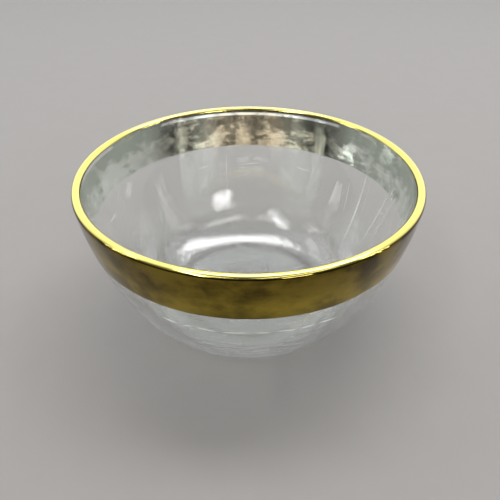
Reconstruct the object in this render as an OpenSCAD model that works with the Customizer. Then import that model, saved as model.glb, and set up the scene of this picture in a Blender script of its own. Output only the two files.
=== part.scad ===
// Gilded glass bowl: a clear glass bowl with a fire-polished lip, a mirror coat
// and a gold coat that wrap the lip and a broad band on the outside.
// Millimetres, +Z up. The origin is the centre of the standing foot.

/* [Bowl outside] */
// Outside diameter of the glass at the lip.
rim_d = 125; // [100:1:150]
// Height of the glass from the table to the top of the lip.
height = 58.8; // [48:0.1:72]
// Outward lean of the side just below the lip, in degrees.
lip_lean = 7.1; // [3:0.1:11]
// Outside diameter of the flat foot, where the rounded corner begins.
foot_d = 52; // [42:0.5:63]
// Outside radius of the rounded corner between the foot and the side.
corner_r = 25.5; // [20:0.5:32]
// Width of the flat ring that the bowl stands on, around the hollow of the foot.
foot_ring = 4; // [3:0.5:8]
// Height of the shallow hollow at its middle.
punt_h = 0.8; // [0.4:0.1:1.6]

/* [Glass thickness] */
// Thickness of the glass at the lip, whose edge is fully rounded.
lip_t = 3.1; // [2.4:0.1:4]
// Thickness of the floor between its top and the table.
floor_t = 3.2; // [2.4:0.1:5]
// How far inside the foot's edge the flat middle of the floor ends.
floor_inset = 0.3; // [0:0.1:2]
// How much tighter the inside corner's radius is than the outside corner's.
corner_step = 3; // [2:0.1:5]

/* [Coats] */
// Depth of the coated band, from the top of the lip to its lower edge.
band_h = 18; // [8:0.1:26]
// How far the coats reach round the lip past its top, in degrees of the rounding.
wrap = 76; // [40:1:90]
// Thickness of the mirror coat, which lies on the glass.
mirror_t = 0.1; // [0.05:0.05:0.4]
// Thickness of the gold coat, which lies on the mirror coat.
gold_t = 0.1; // [0.05:0.05:0.4]

/* [Hidden] */
$fn = 180;
far = 4 * rim_d;
lip_r = lip_t / 2;
// Centre of the lip's round edge in the section (radius, height).
lip_c = [rim_d / 2 - lip_r, height - lip_r];
// Outward normal of the side at the lip.
lip_n = [cos(lip_lean), -sin(lip_lean)];
// Where the outside and the inside of the side meet the lip's round edge.
lip_out = lip_c + lip_r * lip_n;
lip_in = lip_c - lip_r * lip_n;
// Largest radius of a corner that starts at radius x and height z and still
// lies inside the line of the slope at point p.
function corner_room(p, x, z) =
    ((p[0] - x) * lip_n[0] + (p[1] - z) * lip_n[1]) / (1 + lip_n[1]);
// Share of that room that a corner may take, so that the side stays convex.
corner_share = 0.97;
// Rounded corners, outside and inside: radius, then centre.
out_r = min(corner_r, corner_share * corner_room(lip_out, foot_d / 2, 0));
out_c = [foot_d / 2, out_r];
floor_r = foot_d / 2 - floor_inset;
in_r = min(out_r - corner_step, corner_share * corner_room(lip_in, floor_r, floor_t));
in_c = [floor_r, floor_t + in_r];
// Radius of the arc that leaves point p along the lip's slope and runs
// smoothly into the corner of centre c and radius r.
function side_radius(p, c, r) =
    let (d = c - p) (r * r - d * d) / (2 * (d * lip_n + r));
out_side_r = side_radius(lip_out, out_c, out_r);
in_side_r = side_radius(lip_in, in_c, in_r);
// Spherical hollow under the foot: its edge radius and its sphere's radius.
punt_edge = foot_d / 2 - foot_ring;
punt_r = (punt_edge * punt_edge + punt_h * punt_h) / (2 * punt_h);

// Half section of a solid bowl form: a flat base, a corner arc and a side arc
// that ends at point p. The form is grown outwards by g.
module form(p, c, r, side, g = 0) {
    s = p - side * lip_n;
    n = (c - s) / norm(c - s);
    meet = c[1] + (r + g) * n[1];
    base = c[1] - r - g;
    intersection() {
        translate(s) circle(r = side + g);
        translate([0, meet]) square([far, height + far / 8 - meet]);
    }
    intersection() {
        translate(c) circle(r = r + g);
        translate([c[0], base]) square([far, meet - base]);
    }
    translate([0, base]) square([c[0], meet - base]);
}

module outside(g = 0) form(lip_out, out_c, out_r, out_side_r, g);
module inside() form(lip_in, in_c, in_r, in_side_r);

// Everything below the line across the lip's round edge.
module below_lip() translate(lip_c) rotate(-lip_lean) translate([-far, -far])
    square([2 * far, far]);

// The part of the lip's rounding that the coats cover: a sector that starts at
// the outside and ends past the top.
module wrapped() translate(lip_c) polygon([
    [0, 0],
    far * [cos(lip_lean), -sin(lip_lean)],
    [far, far],
    [-far, far],
    far * [-sin(wrap), cos(wrap)],
]);

// Half section of a coat that reaches from distance g0 to g1 off the glass:
// over the lip's round edge and down the outside as far as the band's edge.
module coat(g0, g1) {
    intersection() {
        translate(lip_c) difference() {
            circle(r = lip_r + g1);
            circle(r = lip_r + g0);
        }
        wrapped();
    }
    intersection() {
        difference() {
            outside(g1);
            outside(g0);
        }
        below_lip();
        translate([0, height - band_h]) square([far, far]);
    }
}

// The bowl itself, one piece of glass.
module glass_bowl() color([0.80, 0.86, 0.82, 0.35]) rotate_extrude() difference() {
    union() {
        intersection() {
            difference() {
                outside();
                inside();
            }
            below_lip();
        }
        translate(lip_c) circle(r = lip_r);
    }
    translate([0, punt_h - punt_r]) circle(r = punt_r);
}

// Mirror coat on the glass, seen from inside through the glass.
module mirror_coat() color([0.74, 0.77, 0.74]) rotate_extrude()
    coat(0, mirror_t);

// Gold coat over the mirror coat, seen from outside and on the lip.
module gold_coat() color([0.84, 0.70, 0.24]) rotate_extrude()
    coat(mirror_t, mirror_t + gold_t);

glass_bowl();
mirror_coat();
gold_coat();
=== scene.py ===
import math

import bpy
import numpy as np
from mathutils import Matrix, Vector


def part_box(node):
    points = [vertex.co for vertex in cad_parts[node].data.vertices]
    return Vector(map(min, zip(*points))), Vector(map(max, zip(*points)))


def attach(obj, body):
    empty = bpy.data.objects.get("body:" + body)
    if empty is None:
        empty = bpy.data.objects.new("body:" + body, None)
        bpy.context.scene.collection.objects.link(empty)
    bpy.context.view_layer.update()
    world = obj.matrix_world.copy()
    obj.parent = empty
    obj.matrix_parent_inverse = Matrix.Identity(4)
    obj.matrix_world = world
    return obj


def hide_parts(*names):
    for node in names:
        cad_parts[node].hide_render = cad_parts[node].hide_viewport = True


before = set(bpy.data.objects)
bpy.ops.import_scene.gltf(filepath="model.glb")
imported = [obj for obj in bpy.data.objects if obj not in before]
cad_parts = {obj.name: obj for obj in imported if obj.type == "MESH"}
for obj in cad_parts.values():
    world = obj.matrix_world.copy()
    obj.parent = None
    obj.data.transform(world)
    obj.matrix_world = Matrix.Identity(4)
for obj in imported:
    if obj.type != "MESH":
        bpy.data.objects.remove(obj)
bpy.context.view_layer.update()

MM = 0.001
MICRON = 0.000001

# ---------------------------------------------------------------- sizes
_, glass_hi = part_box("glass_bowl")
coat_lo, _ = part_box("gold_coat")
RIM_R = glass_hi.x                 # outside radius of the glass at the lip
HEIGHT = glass_hi.z                # top of the glass lip
BAND_Z = coat_lo.z                 # lower edge of the band
LIP_R = 1.55 * MM                  # half the glass thickness at the lip
LEAN = math.radians(7.1)           # outward lean of the side below the lip
WRAP = math.radians(76)            # how far the coats go round the lip past its top
FOOT_R, CORNER_R = 26 * MM, 25.5 * MM
PUNT_R, PUNT_H = 22 * MM, 0.8 * MM
FLOOR_T, FLOOR_R, INNER_CORNER_R = 3.2 * MM, 25.7 * MM, 22.5 * MM
FILM = 0.02 * MM                   # the coats are 1.5 and 2 times this thick, thinner than in the CAD
SEGMENTS = 640                     # around the axis


# ---------------------------------------------------------------- half section
def side_arc(p, c, r):
    """Radius and centre of the arc from p, along the lip's slope, smoothly into the corner (c, r)."""
    d = c - p
    radius = (r * r - d @ d) / (2 * (d @ LIP_N + r))
    return radius, p - radius * LIP_N


def arc(centre, r, a0, a1, step):
    """Points on an arc from angle a0 to a1, about step metres apart."""
    count = max(2, int(math.ceil(abs(a1 - a0) * r / step)))
    a = np.linspace(a0, a1, count + 1)
    return np.stack([centre[0] + r * np.cos(a), centre[1] + r * np.sin(a)], 1)


def angle_of(centre, p):
    return math.atan2(p[1] - centre[1], p[0] - centre[0])


LIP_C = np.array([RIM_R - LIP_R, HEIGHT - LIP_R])
LIP_N = np.array([math.cos(LEAN), -math.sin(LEAN)])
OUT_C = np.array([FOOT_R, CORNER_R])
IN_C = np.array([FLOOR_R, FLOOR_T + INNER_CORNER_R])
OUT_SIDE, OUT_SIDE_C = side_arc(LIP_C + LIP_R * LIP_N, OUT_C, CORNER_R)
IN_SIDE, IN_SIDE_C = side_arc(LIP_C - LIP_R * LIP_N, IN_C, INNER_CORNER_R)
OUT_MEET = angle_of(OUT_SIDE_C, OUT_C)
IN_MEET = angle_of(IN_SIDE_C, IN_C)


def join(parts):
    """One line from several, without the doubled points where they meet."""
    out = [parts[0]]
    for p in parts[1:]:
        out.append(p[1:] if np.linalg.norm(p[0] - out[-1][-1]) < 1e-9 else p)
    return np.concatenate(out)


def glass_profile():
    """From the middle of the foot's hollow, up the outside, over the lip and down the inside."""
    punt_r = (PUNT_R ** 2 + PUNT_H ** 2) / (2 * PUNT_H)
    punt_c = np.array([0.0, PUNT_H - punt_r])
    edge = angle_of(punt_c, np.array([PUNT_R, 0.0]))
    return join([
        arc(punt_c, punt_r, math.pi / 2, edge, 3 * MM),
        np.array([[r, 0] for r in np.linspace(PUNT_R, FOOT_R, 5)]),
        arc(OUT_C, CORNER_R, -math.pi / 2, OUT_MEET, 1.1 * MM),
        arc(OUT_SIDE_C, OUT_SIDE, OUT_MEET, -LEAN, 1.4 * MM),
        arc(LIP_C, LIP_R, -LEAN, math.pi - LEAN, 0.3 * MM),
        arc(IN_SIDE_C, IN_SIDE, -LEAN, IN_MEET, 1.4 * MM),
        arc(IN_C, INNER_CORNER_R, IN_MEET, -math.pi / 2, 1.1 * MM),
        np.array([[r, FLOOR_T] for r in np.linspace(FLOOR_R, 0, 10)]),
    ])


def coat_profile(g0, g1):
    """A coat between distances g0 and g1 off the glass, from the band's lower edge up and over the lip."""
    def line(g):
        low = math.asin((BAND_Z - OUT_SIDE_C[1]) / (OUT_SIDE + g))
        return join([
            arc(OUT_SIDE_C, OUT_SIDE + g, low, -LEAN, 1.0 * MM),
            arc(LIP_C, LIP_R + g, -LEAN, math.pi / 2 + WRAP, 0.2 * MM),
        ])
    return np.concatenate([line(g1), line(g0)[::-1]])


def side_radius(z, corner, r, side, side_c):
    """Radius of the outside or the inside of the wall at height z."""
    meet = corner[1] + r * math.sin(angle_of(side_c, corner))
    centre, radius = (side_c, side) if z >= meet else (corner, r)
    return centre[0] + math.sqrt(radius ** 2 - (z - centre[1]) ** 2)


def wall_radius(z, outwards):
    """Radius of a point in the wall at height z: outwards is 0 on the inside and 1 on the outside."""
    outside = side_radius(z, OUT_C, CORNER_R, OUT_SIDE, OUT_SIDE_C)
    inside = side_radius(z, IN_C, INNER_CORNER_R, IN_SIDE, IN_SIDE_C)
    return inside + (outside - inside) * outwards


# ---------------------------------------------------------------- surface of hand-made glass
OUTER_DRAW, OUTER_RIPPLE = 0.022 * MM, 0.030 * MM    # how high the draw lines and the ripple stand
INNER_DRAW, INNER_RIPPLE = 0.035 * MM, 0.020 * MM
DRAW_PITCH = 200 * MM              # the draw lines run nearly straight up


def smooth(x, lo, hi):
    t = np.clip((x - lo) / (hi - lo), 0, 1)    # lo may be the larger, for a field that falls
    return t * t * (3 - 2 * t)


def waves(turn, z, seed, slowest, fastest, count, pitch):
    """A smooth field in about -1..1: waves around the bowl whose phase drifts with height.

    Each of the count waves has between slowest and fastest periods around the bowl, and its phase
    moves by one period or less for each pitch of height.
    """
    rng = np.random.default_rng(seed)
    total, out = 0, 0
    for _ in range(count):
        k = int(rng.integers(slowest, fastest + 1))
        weight = 1 / math.sqrt(k)
        phase, drift_phase, swell_phase = rng.uniform(0, 2 * math.pi, 3)
        rise = rng.uniform(-1, 1) * 2 * math.pi / pitch
        drift = 0.6 * np.sin(z * 2 * math.pi / (45 * MM) + drift_phase)
        swell = 0.6 + 0.4 * np.sin(z * 2 * math.pi / (70 * MM) + swell_phase)
        out = out + weight * np.sin(k * turn + phase + drift + rise * z) * swell
        total += weight
    return out / total * 2


def outer_wave(turn, z):
    """How far the outside stands proud: long draw lines below, a hammered ripple under the band."""
    draw = OUTER_DRAW * waves(turn, z, 11, 9, 80, 30, DRAW_PITCH)
    ripple = OUTER_RIPPLE * waves(turn, z, 5, 14, 70, 40, 7 * MM)
    under_band = smooth(z, BAND_Z - 6 * MM, BAND_Z)
    ends = smooth(z, 2 * MM, 12 * MM) * (1 - smooth(z, HEIGHT - 8 * MM, HEIGHT - 4 * MM))
    return (draw + (ripple - draw) * under_band) * ends


def inner_wave(turn, z):
    """How far the inside is pushed outwards: long draw lines, and a ripple low down."""
    draw = INNER_DRAW * waves(turn, z, 29, 12, 90, 34, DRAW_PITCH)
    ripple = INNER_RIPPLE * waves(turn, z, 31, 8, 60, 36, 9 * MM) * smooth(z, 30 * MM, 16 * MM)
    low_end = smooth(z, FLOOR_T + 0.2 * MM, FLOOR_T + 5 * MM)
    return (draw + ripple) * (low_end * (1 - smooth(z, HEIGHT - 9 * MM, HEIGHT - 3 * MM)))


def pushed(co, h):
    """Points moved outwards, away from the axis, by h."""
    r = np.maximum(np.hypot(co[:, :, 0], co[:, :, 1]), 1 * MM)
    out = co.copy()
    out[:, :, 0] *= 1 + h / r
    out[:, :, 1] *= 1 + h / r
    return out


def glass_shift(co, turn):
    z = co[:, :, 2]
    inner = np.arange(len(z))[:, None] > int(np.argmax(z[:, 0]))
    return pushed(co, np.where(inner, inner_wave(turn, z), outer_wave(turn, z)))


def coat_shift(co, turn):
    return pushed(co, outer_wave(turn, co[:, :, 2]))


# ---------------------------------------------------------------- meshes
def revolve(profile, closed, shift):
    """Points and faces of a body of revolution, with its points moved by shift.

    An open profile starts and ends on the axis.
    """
    turn = np.arange(SEGMENTS) * 2 * math.pi / SEGMENTS
    ring = profile if closed else profile[1:-1]
    r, z = ring[:, 0][:, None], ring[:, 1][:, None]
    co = shift(np.stack([r * np.cos(turn), r * np.sin(turn), z + 0 * turn], 2), turn)
    rows, columns = co.shape[:2]
    verts = co.reshape(-1, 3)
    idx = np.arange(rows * columns).reshape(rows, columns)
    if closed:
        idx = np.concatenate([idx, idx[:1]])
    nxt = np.roll(idx, -1, 1)
    faces = np.stack([idx[:-1], nxt[:-1], nxt[1:], idx[1:]], 2).reshape(-1, 4).tolist()
    if not closed:
        base = len(verts)
        verts = np.concatenate([verts, [[0, 0, profile[0][1]], [0, 0, profile[-1][1]]]])
        faces += [[base, int(b), int(a)] for a, b in zip(idx[0], nxt[0])]
        faces += [[base + 1, int(a), int(b)] for a, b in zip(idx[-1], nxt[-1])]
    return verts.tolist(), faces


def thread(turn0, z0, turn1, z1, radius, outwards):
    """A fine thread along the wall that tapers at both ends. outwards is as for wall_radius."""
    rings, sides, blunt = 28, 8, 0.02
    along = np.linspace(0, 1, rings)
    turn, z = turn0 + (turn1 - turn0) * along, z0 + (z1 - z0) * along
    thick = radius * np.maximum(np.sin(along * math.pi), blunt) ** 0.5
    r = np.array([wall_radius(h, outwards) for h in z])
    a = np.arange(sides) * 2 * math.pi / sides
    out, around = thick[:, None] * np.cos(a), thick[:, None] * np.sin(a)
    t = turn[:, None] + around / r[:, None]
    rr = r[:, None] + out
    co = np.stack([rr * np.cos(t), rr * np.sin(t), z[:, None] + 0 * t], 2)
    idx = np.arange(rings * sides).reshape(rings, sides)
    nxt = np.roll(idx, -1, 1)
    faces = np.stack([idx[:-1], nxt[:-1], nxt[1:], idx[1:]], 2).reshape(-1, 4).tolist()
    ends = [idx[0][::-1].tolist(), idx[-1].tolist()]
    faces = [f[::-1] for f in inwards(co.reshape(-1, 3), faces + ends)]
    return co.reshape(-1, 3).tolist(), faces


def bubble(turn, z, radius, stretch):
    """A seed bubble in the middle of the wall: a small void, longer upwards."""
    rows, sides = 9, 12
    r = wall_radius(z, 0.5)
    middle = np.array([r * math.cos(turn), r * math.sin(turn), z])
    tilt = np.linspace(0, math.pi, rows + 2)[1:-1]
    a = np.arange(sides) * 2 * math.pi / sides
    shape = np.stack([np.sin(tilt)[:, None] * np.cos(a), np.sin(tilt)[:, None] * np.sin(a),
                      stretch * np.cos(tilt)[:, None] + 0 * a], 2)
    co = np.concatenate([middle + radius * shape.reshape(-1, 3),
                         middle + radius * np.array([[0, 0, stretch], [0, 0, -stretch]])])
    idx = np.arange(rows * sides).reshape(rows, sides)
    nxt = np.roll(idx, -1, 1)
    faces = np.stack([idx[:-1], nxt[:-1], nxt[1:], idx[1:]], 2).reshape(-1, 4).tolist()
    top, bottom = rows * sides, rows * sides + 1
    faces += [[top, int(b), int(a)] for a, b in zip(idx[0], nxt[0])]
    faces += [[bottom, int(a), int(b)] for a, b in zip(idx[-1], nxt[-1])]
    return co.tolist(), inwards(co, faces)


def inwards(co, faces):
    """The faces of a closed shell, turned so that their normals point into its void."""
    volume = 0.0
    for f in faces:
        for k in range(1, len(f) - 1):
            volume += np.dot(co[f[0]], np.cross(co[f[k]], co[f[k + 1]]))
    return [f[::-1] for f in faces] if volume > 0 else faces


def merged(shells):
    verts, faces = [], []
    for v, f in shells:
        base = len(verts)
        verts += v
        faces += [[base + i for i in face] for face in f]
    return verts, faces


def made(name, verts, faces):
    mesh = bpy.data.meshes.new(name)
    mesh.from_pydata(verts, [], faces)
    mesh.polygons.foreach_set("use_smooth", [True] * len(mesh.polygons))
    mesh.set_sharp_from_angle(angle=math.radians(35))
    mesh.update()
    obj = bpy.data.objects.new(name, mesh)
    bpy.context.scene.collection.objects.link(obj)
    return obj


# ---------------------------------------------------------------- materials
class Nodes:
    """Short calls for building one Principled material."""

    def __init__(self, name):
        self.material = bpy.data.materials.new(name)
        self.material.use_nodes = True
        self.tree = self.material.node_tree
        self.bsdf = self.tree.nodes["Principled BSDF"]
        place = self.tree.nodes.new("ShaderNodeTexCoord").outputs["Object"]
        self.place = place
        split = self.add("ShaderNodeSeparateXYZ", {0: place})
        x, y, self.z = split.outputs
        self.turn = self.math("ARCTAN2", x, y)
        self.radius = self.math("SQRT", self.plus(self.times(x, x), self.times(y, y)))

    def add(self, kind, inputs=None, **settings):
        node = self.tree.nodes.new(kind)
        for key, value in settings.items():
            setattr(node, key, value)
        for key, value in (inputs or {}).items():
            self.feed(value, node.inputs[key])
        return node

    def feed(self, value, socket):
        if isinstance(value, bpy.types.NodeSocket):
            self.tree.links.new(value, socket)
        else:
            socket.default_value = value

    def math(self, operation, a, b=0.0):
        return self.add("ShaderNodeMath", {0: a, 1: b}, operation=operation).outputs[0]

    def times(self, a, b):
        return self.math("MULTIPLY", a, b)

    def plus(self, a, b):
        return self.math("ADD", a, b)

    def ramp(self, value, lo, hi, out_lo=0.0, out_hi=1.0):
        """value from lo..hi to out_lo..out_hi along a smooth step."""
        keys = {"Value": value, "From Min": lo, "From Max": hi, "To Min": out_lo, "To Max": out_hi}
        return self.add("ShaderNodeMapRange", keys, interpolation_type="SMOOTHSTEP").outputs["Result"]

    def wrapped(self, around, up):
        """Coordinates around and up the bowl, without a seam: the turn is kept as a circle."""
        c = self.times(self.math("COSINE", self.turn), around)
        s = self.times(self.math("SINE", self.turn), around)
        return self.add("ShaderNodeCombineXYZ", {0: c, 1: s, 2: self.times(self.z, up)}).outputs[0]

    def noise(self, where, scale, detail=2.0, roughness=0.5):
        keys = {"Vector": where, "Scale": scale, "Detail": detail, "Roughness": roughness}
        return self.add("ShaderNodeTexNoise", keys).outputs["Fac"]

    def mix(self, factor, a, b):
        node = self.add("ShaderNodeMix", data_type="RGBA")
        for socket, value in zip((node.inputs[0], node.inputs[6], node.inputs[7]), (factor, a, b)):
            self.feed(value, socket)
        return node.outputs[2]

    def bump(self, height, distance, normal=None):
        keys = {"Height": height, "Distance": distance, "Strength": 1.0}
        if normal is not None:
            keys["Normal"] = normal
        return self.add("ShaderNodeBump", keys).outputs["Normal"]

    def finish(self, **inputs):
        for key, value in inputs.items():
            self.feed(value, self.bsdf.inputs[key.replace("_", " ")])
        return self.material


def clear_glass():
    """Clear glass with a faint green cast, draw lines down the side and turning lines near the foot."""
    n = Nodes("clear_glass")
    draw = n.noise(n.wrapped(38.0, 12.0), 1.0, 3.0, 0.6)
    hammered = n.times(n.noise(n.place, 380.0, 3.0, 0.6), n.ramp(n.z, 26 * MM, 15 * MM))
    turning = n.noise(n.wrapped(1.6, 1300.0), 1.0, 2.0, 0.6)
    low = n.ramp(n.z, 40 * MM, 25 * MM)
    normal = n.bump(draw, 18 * MICRON)
    normal = n.bump(hammered, 150 * MICRON, normal)
    normal = n.bump(n.times(turning, low), 10 * MICRON, normal)
    tint = (0.965, 0.985, 0.972, 1)
    return n.finish(Base_Color=tint, Roughness=0.0, IOR=1.52, Transmission_Weight=1.0, Normal=normal)


def gold():
    """Gold lacquer: clouded on the band, with painted shade darkening the band towards its top, and a
    paler lemon gold on the lip that is partly its own gilding and partly a painted highlight.
    """
    n = Nodes("gold_lacquer")
    clouds = n.noise(n.place, 75.0, 4.0, 0.55)
    smears = n.noise(n.wrapped(3.0, 110.0), 1.0, 4.0, 0.6)
    cloudy = n.ramp(n.plus(n.times(clouds, 0.6), n.times(smears, 0.4)), 0.40, 0.60)
    # Painted shade: the band is painted darker towards its top, standing in for the dark surroundings it
    # reflects; the clouds are the coat's own mottling.
    low = n.ramp(n.z, HEIGHT - 5 * MM, BAND_Z + 3 * MM)
    band_top_painted_shade = n.mix(cloudy, (0.07, 0.047, 0.008, 1), (0.26, 0.19, 0.028, 1))
    warm = n.mix(cloudy, (0.20, 0.145, 0.018, 1), (0.50, 0.37, 0.045, 1))
    band = n.mix(low, band_top_painted_shade, warm)
    top = n.ramp(n.z, HEIGHT - 0.8 * MM, HEIGHT - 0.45 * MM)
    past_top = n.ramp(n.radius, RIM_R - LIP_R, RIM_R - LIP_R - 0.3 * MM)
    inner = n.times(past_top, n.ramp(n.z, HEIGHT - 3 * MM, HEIGHT - 2 * MM))
    crown = n.math("MAXIMUM", top, inner)
    # The paler lemon gold on the lip is partly the lip's own gilding and partly a painted highlight for
    # the bright overhead light it reflects.
    lip_gold_and_painted_highlight = (0.60, 0.52, 0.15, 1)
    colour = n.mix(crown, band, lip_gold_and_painted_highlight)
    normal = n.bump(n.noise(n.place, 900.0, 2.0), 1.2 * MICRON)
    normal = n.bump(n.noise(n.wrapped(9.0, 260.0), 1.0, 3.0), 7 * MICRON, normal)
    satin = n.ramp(n.z, BAND_Z + 10 * MM, HEIGHT - 1.5 * MM, 0.16, 0.05)
    rough = n.plus(satin, n.times(crown, 0.11))
    return n.finish(Metallic=1.0, Base_Color=colour, Roughness=rough, Normal=normal)


def mirror():
    """Silvering seen through the glass, clouded and streaked, with painted reflections: darker and brown
    in front and behind, paler and green beside, darker towards the top, and a painted white highlight line
    under the lip.
    """
    n = Nodes("mirror_film")
    # Painted reflection: the silvering is painted darker and browner in front and behind, and paler and
    # greener at the sides, for what it reflects there.
    beside = n.ramp(n.math("ABSOLUTE", n.math("SINE", n.turn)), 0.45, 0.85)
    clouds = n.noise(n.place, 85.0, 6.0, 0.62)
    streaks = n.noise(n.wrapped(9.0, 380.0), 1.0, 4.0, 0.65)
    # Painted shade: darker towards the top of the band.
    shade = n.times(n.ramp(n.z, HEIGHT - 12 * MM, HEIGHT - 6 * MM), -0.10)
    cloudy = n.ramp(n.plus(n.plus(n.times(clouds, 0.6), n.times(streaks, 0.4)), shade), 0.40, 0.56)
    dark = n.mix(beside, (0.13, 0.115, 0.09, 1), (0.60, 0.65, 0.58, 1))
    tone = n.mix(beside, (0.74, 0.66, 0.54, 1), (0.97, 1.0, 0.95, 1))
    colour = n.mix(cloudy, dark, tone)
    # Painted highlight: a broken white line just under the lip stands in for lights reflected in the glass
    # there.
    line_bottom = n.ramp(n.z, HEIGHT - 4.3 * MM, HEIGHT - 3.8 * MM)
    line_top = n.ramp(n.z, HEIGHT - 2.6 * MM, HEIGHT - 3.1 * MM)
    painted_highlight_line = n.times(line_bottom, line_top)
    broken = n.ramp(n.noise(n.wrapped(4.0, 60.0), 1.0, 1.0), 0.42, 0.50)
    colour = n.mix(n.times(painted_highlight_line, broken), colour, (1.0, 1.0, 1.0, 1))
    normal = n.bump(n.noise(n.place, 420.0, 3.0), 10 * MICRON)
    rough = n.ramp(cloudy, 0.0, 1.0, 0.05, 0.12)
    return n.finish(Metallic=1.0, Base_Color=colour, Roughness=rough, Normal=normal)


def thread_painted_glint_white():
    """The white of the threads on the wall: a painted highlight, standing in for the glints of light along
    lines in the glass.
    """
    n = Nodes("thread_painted_glint_white")
    broken = n.ramp(n.noise(n.place, 220.0, 2.0), 0.35, 0.6)
    # Painted highlight: the threads are white to stand in for glints of light.
    colour = n.mix(broken, (0.74, 0.76, 0.72, 1), (0.95, 0.96, 0.93, 1))
    return n.finish(Base_Color=colour, Roughness=0.4)


def floor_material():
    """Plain pale floor, very faintly mottled."""
    n = Nodes("studio_floor")
    fine = n.noise(n.place, 60.0, 6.0, 0.6)
    colour = n.mix(fine, (0.185, 0.176, 0.168, 1), (0.198, 0.189, 0.181, 1))
    return n.finish(Base_Color=colour, Roughness=0.6, Specular_IOR_Level=0.2)


# ---------------------------------------------------------------- pieces
def piece(obj, material, cad_node):
    """Gives a piece its material, hangs it under the root body and hides the CAD node it stands in for."""
    obj.data.materials.append(material)
    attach(obj, "root")
    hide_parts(cad_node)


# Threads inside: turn in degrees and height in mm at one end, then at the other, and radius in mm.
INNER_THREADS = [(28.0, 42, 23.6, 15, 0.23), (10.6, 43, 11.3, 21.5, 0.16), (5.0, 43, 5.9, 26, 0.09),
                 (36.0, 36, 33.0, 24, 0.07), (101.0, 39, 102.3, 23.5, 0.06), (205.0, 40, 208.0, 20, 0.07)]
# Short threads around the outside below the band: turn and length in degrees, half the fall in mm.
OUTER_THREADS = [(242, 5, 0.3), (249, 3, -0.2), (254, 6, 0.2), (262, 8, -0.3), (272, 5, 0.2),
                 (279, 6, 0.3), (287, 4, -0.3), (293, 6, 0.3), (60, 6, -0.3), (85, 7, 0.2),
                 (110, 5, 0.3), (170, 6, -0.3), (10, 5, 0.3)]
OUTER_THREAD_Z, OUTER_THREAD_R = 32.5, 0.11    # mm


def threads():
    """Fine white threads, some inside and some outside: they follow real lines in the glass, and their
    white is a painted highlight for the glints of light on them.
    """
    lines = [line + (0.0,) for line in INNER_THREADS]
    for a, span, fall in OUTER_THREADS:
        lines.append((a, OUTER_THREAD_Z + fall, a + span, OUTER_THREAD_Z - fall, OUTER_THREAD_R, 1.0))
    return [thread(math.radians(a), z0 * MM, math.radians(b), z1 * MM, r * MM, side)
            for a, z0, b, z1, r, side in lines]


def seeds():
    """Small bubbles left in the glass: one clear to see, and the rest tiny."""
    tiny = 16
    shells = [bubble(math.radians(116.4), 21.7 * MM, 0.32 * MM, 1.2)]
    rng = np.random.default_rng(17)
    for _ in range(tiny):
        turn, z = rng.uniform(0, 2 * math.pi), rng.uniform(14, 40) * MM
        shells.append(bubble(turn, z, rng.uniform(0.06, 0.15) * MM, rng.uniform(1.0, 2.0)))
    return shells


glass = merged([revolve(glass_profile(), False, glass_shift)] + seeds())
film = revolve(coat_profile(-0.5 * FILM, FILM), True, coat_shift)
gilding = revolve(coat_profile(FILM, 3 * FILM), True, coat_shift)
piece(made("bowl_glass", *glass), clear_glass(), "glass_bowl")
# The threads' white is a painted highlight for glints of light along the glass.
piece(made("bowl_threads_painted_glints", *merged(threads())), thread_painted_glint_white(), "glass_bowl")
piece(made("bowl_mirror_film", *film), mirror(), "mirror_coat")
piece(made("bowl_gold", *gilding), gold(), "gold_coat")

# ---------------------------------------------------------------- stage
scene = bpy.context.scene
GAP = 0.03 * MM                    # air between the foot and the floor
FLOOR_HALF = 3.0
corners = [(-1, -1), (1, -1), (1, 1), (-1, 1)]
floor = made("studio_floor", [(x * FLOOR_HALF, y * FLOOR_HALF, -GAP) for x, y in corners], [(0, 1, 2, 3)])
floor.data.materials.append(floor_material())

BACKDROP = 0.42                    # brightness of the plain backdrop


def studio_world():
    """A soft white dome: bright behind and overhead, dim in front."""
    world = bpy.data.worlds.new("studio")
    world.use_nodes = True
    tree = world.node_tree
    sky = tree.nodes["Background"]
    sky.inputs["Color"].default_value = (0.97, 0.98, 1.0, 1)
    coord = tree.nodes.new("ShaderNodeTexCoord")
    dot = tree.nodes.new("ShaderNodeVectorMath")
    dot.operation = "DOT_PRODUCT"
    dot.inputs[1].default_value = (0.0, 0.86, 0.51)
    ramp = tree.nodes.new("ShaderNodeMapRange")
    ramp.interpolation_type = "SMOOTHSTEP"
    for key, value in {"From Min": 0.05, "From Max": 0.65, "To Min": 0.08, "To Max": 1.9}.items():
        ramp.inputs[key].default_value = value
    tree.links.new(coord.outputs["Generated"], dot.inputs[0])
    tree.links.new(dot.outputs["Value"], ramp.inputs["Value"])
    # The eye sees a plain grey backdrop, and the bowl sees the dome.
    eye = tree.nodes.new("ShaderNodeLightPath").outputs["Is Camera Ray"]
    plain = tree.nodes.new("ShaderNodeMix")
    plain.inputs["B"].default_value = BACKDROP
    tree.links.new(eye, plain.inputs["Factor"])
    tree.links.new(ramp.outputs["Result"], plain.inputs["A"])
    tree.links.new(plain.outputs["Result"], sky.inputs["Strength"])
    return world


scene.world = studio_world()
BOWL_MIDDLE = Vector((0, 0, 0.03))


def towards(azimuth, elevation, distance):
    """A point that far from the bowl. Azimuth in degrees from +Y towards +X."""
    a, e = math.radians(azimuth), math.radians(elevation)
    flat = distance * math.cos(e)
    return BOWL_MIDDLE + Vector((flat * math.sin(a), flat * math.cos(a), distance * math.sin(e)))


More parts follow.
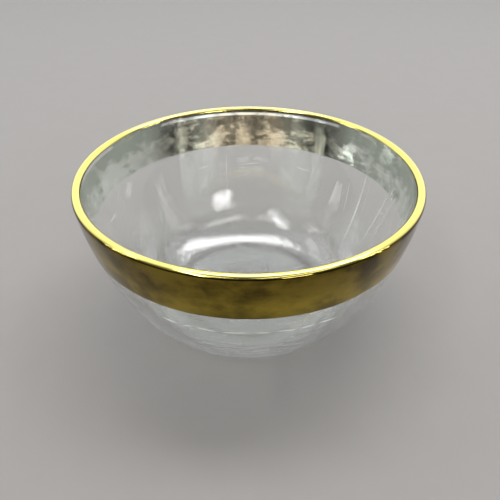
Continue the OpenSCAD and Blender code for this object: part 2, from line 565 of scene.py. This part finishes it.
def panel(name, start, end, depth, radiance):
    """A soft light panel that faces the bowl and is hidden from the camera.

    Its middle line runs from start to end.
    """
    along = end - start
    middle = (start + end) / 2
    data = bpy.data.lights.new(name, "AREA")
    data.shape = "RECTANGLE"
    data.size, data.size_y = along.length, depth
    data.energy = radiance * math.pi * along.length * depth
    back = (middle - BOWL_MIDDLE).normalized()
    x = (along - along.dot(back) * back).normalized()
    obj = bpy.data.objects.new(name, data)
    obj.visible_camera = False
    obj.matrix_world = Matrix.Translation(middle) @ Matrix((x, back.cross(x), back)).transposed().to_4x4()
    scene.collection.objects.link(obj)


NEAR, AWAY = 1.2, 1.3              # distances of the panels from the bowl
STRIP_RADIANCE = 30
# Thin upright strips at both sides: azimuth, lowest and highest elevation in degrees, width in metres.
STRIPS = [(-94, 2, 34, 0.008), (-99, 4, 44, 0.012), (-105, 10, 38, 0.006),
          (96, 4, 30, 0.008), (102, 2, 42, 0.012), (107, 8, 36, 0.006)]

panel("ceiling_panel", Vector((-0.34, 0.29, 1.05)), Vector((0.66, 0.29, 1.05)), 0.32, 9)
panel("left_tube", towards(-153, 32, NEAR), towards(-118, 62, NEAR), 0.06, 22)
panel("right_lamp", towards(161, 23.5, NEAR), towards(144, 23.5, NEAR), 0.055, 26)
panel("left_window", towards(-166, 49, AWAY), towards(-128, 49, AWAY), 0.16, 3.5)
panel("right_window", towards(174, 49, AWAY), towards(116, 49, AWAY), 0.16, 3.5)
panel("right_rail", towards(84, 50, AWAY), towards(20, 51, AWAY), 0.02, 16)
panel("left_rail", towards(-84, 49, AWAY), towards(-33, 49, AWAY), 0.02, 16)
for number, (azimuth, low, high, width) in enumerate(STRIPS):
    panel("strip_%d" % number, towards(azimuth, low, AWAY), towards(azimuth, high, AWAY), width,
          STRIP_RADIANCE)

scene.cycles.max_bounces = 32
scene.cycles.glossy_bounces = 24
scene.cycles.transmission_bounces = 32
scene.cycles.diffuse_bounces = 6

# ---------------------------------------------------------------- camera
LENS = 37.515                      # mm, on a sensor 36 mm wide
PITCH, ROLL = math.radians(36.30), 0.002
STAND = (0.0005, -0.1699, 0.1471)  # where the camera is
cam = bpy.data.cameras.new("camera")
cam.sensor_width = 36
cam.lens = LENS
cam.clip_start = 0.01
cam.clip_end = 20
camera = bpy.data.objects.new("camera", cam)
camera.matrix_world = (
    Matrix.Translation(STAND)
    @ Matrix.Rotation(math.pi / 2 - PITCH, 4, "X")
    @ Matrix.Rotation(ROLL, 4, "Z")
)
scene.collection.objects.link(camera)
scene.camera = camera
scene.view_settings.view_transform = "Standard"
